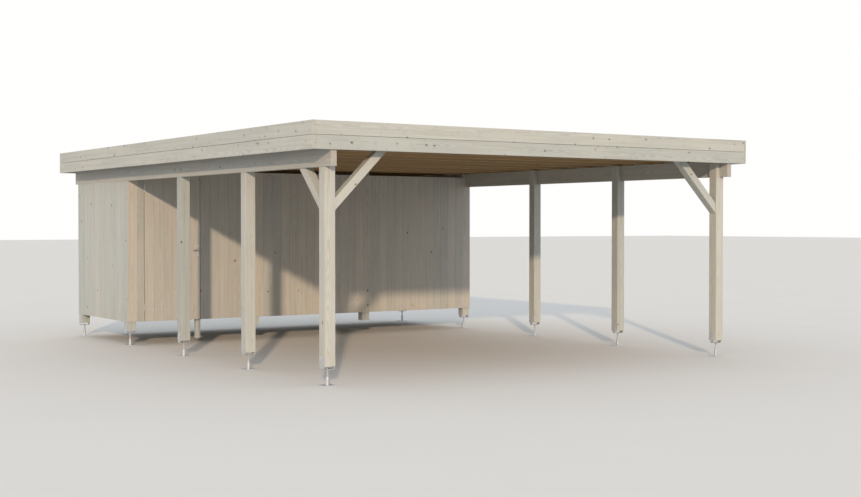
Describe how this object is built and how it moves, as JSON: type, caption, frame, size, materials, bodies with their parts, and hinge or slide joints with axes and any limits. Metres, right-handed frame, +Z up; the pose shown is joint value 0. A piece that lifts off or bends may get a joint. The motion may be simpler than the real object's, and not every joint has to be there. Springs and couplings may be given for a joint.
{
  "type": "timber carport with store room",
  "caption": "Flat-roofed timber carport on steel post anchors, with a closed board-clad store room across its rear bay and a hinged door.",
  "frame": {"origin": "on the ground, under the middle of the roof", "axes": "+Y along the building from the open front to the store room, +X to the right seen from the front, +Z up"},
  "size_m": [6.024, 7.636, 2.648],
  "materials": {
    "post_timber": "planed untreated spruce",
    "beam_timber": "planed untreated spruce",
    "brace_timber": "planed untreated spruce",
    "framing_timber": "sawn untreated spruce",
    "roof_timber": "sawn untreated spruce boards",
    "fascia_timber": "planed untreated spruce boards",
    "wall_timber": "planed untreated spruce boards",
    "roofing_felt": "mineral bitumen felt",
    "galvanised_steel": "hot-dip galvanised",
    "fitting_steel": "satin steel"
  },
  "bodies": {
    "frame": {"post_left_1": "post_timber", "post_left_2": "post_timber", "post_left_3": "post_timber", "post_left_4": "post_timber", "post_left_5": "post_timber", "post_right_1": "post_timber", "post_right_2": "post_timber", "post_right_3": "post_timber", "post_right_4": "post_timber", "post_right_5": "post_timber", "store_posts": "post_timber", "beam_left": "beam_timber", "beam_right": "beam_timber", "headers": "beam_timber", "rafters": "framing_timber", "wall_rails": "framing_timber", "hinge_stud": "framing_timber", "lock_stud": "framing_timber", "door_head": "framing_timber", "brace_left_across": "brace_timber", "brace_left_along": "brace_timber", "brace_right_across": "brace_timber", "brace_right_along": "brace_timber", "roof_boards": "roof_timber", "roof_felt": "roofing_felt", "fascia_front": "fascia_timber", "fascia_rear": "fascia_timber", "fascia_left": "fascia_timber", "fascia_right": "fascia_timber", "left_wall": "wall_timber", "right_wall": "wall_timber", "rear_wall": "wall_timber", "front_wall": "wall_timber", "front_wall_beside_door": "wall_timber", "front_wall_over_door": "wall_timber", "anchor_brackets_left": "galvanised_steel", "anchor_brackets_right": "galvanised_steel", "anchor_bases_left": "galvanised_steel", "anchor_bases_right": "galvanised_steel", "frame_hinge_leaves": "fitting_steel"},
    "door": {"door_boards": "wall_timber", "door_ledges": "framing_timber", "door_hinge_leaves": "fitting_steel", "lock_plate": "fitting_steel"},
    "lever": {"door_lever": "fitting_steel"}
  },
  "joints": [
    {"name": "door_hinge", "type": "hinge", "parent": "frame", "child": "door", "pos_m": [-2.555, 1.7155, 1.306], "axis": [0, 0, -1], "range_deg": [0, 100]},
    {"name": "lever_turn", "type": "hinge", "parent": "door", "child": "lever", "pos_m": [-1.79, 1.719, 1.264], "axis": [0, -1, 0], "range_deg": [0, 40], "stiffness_Nm_per_rad": 0.8, "springref_deg": -22.92}
  ]
}
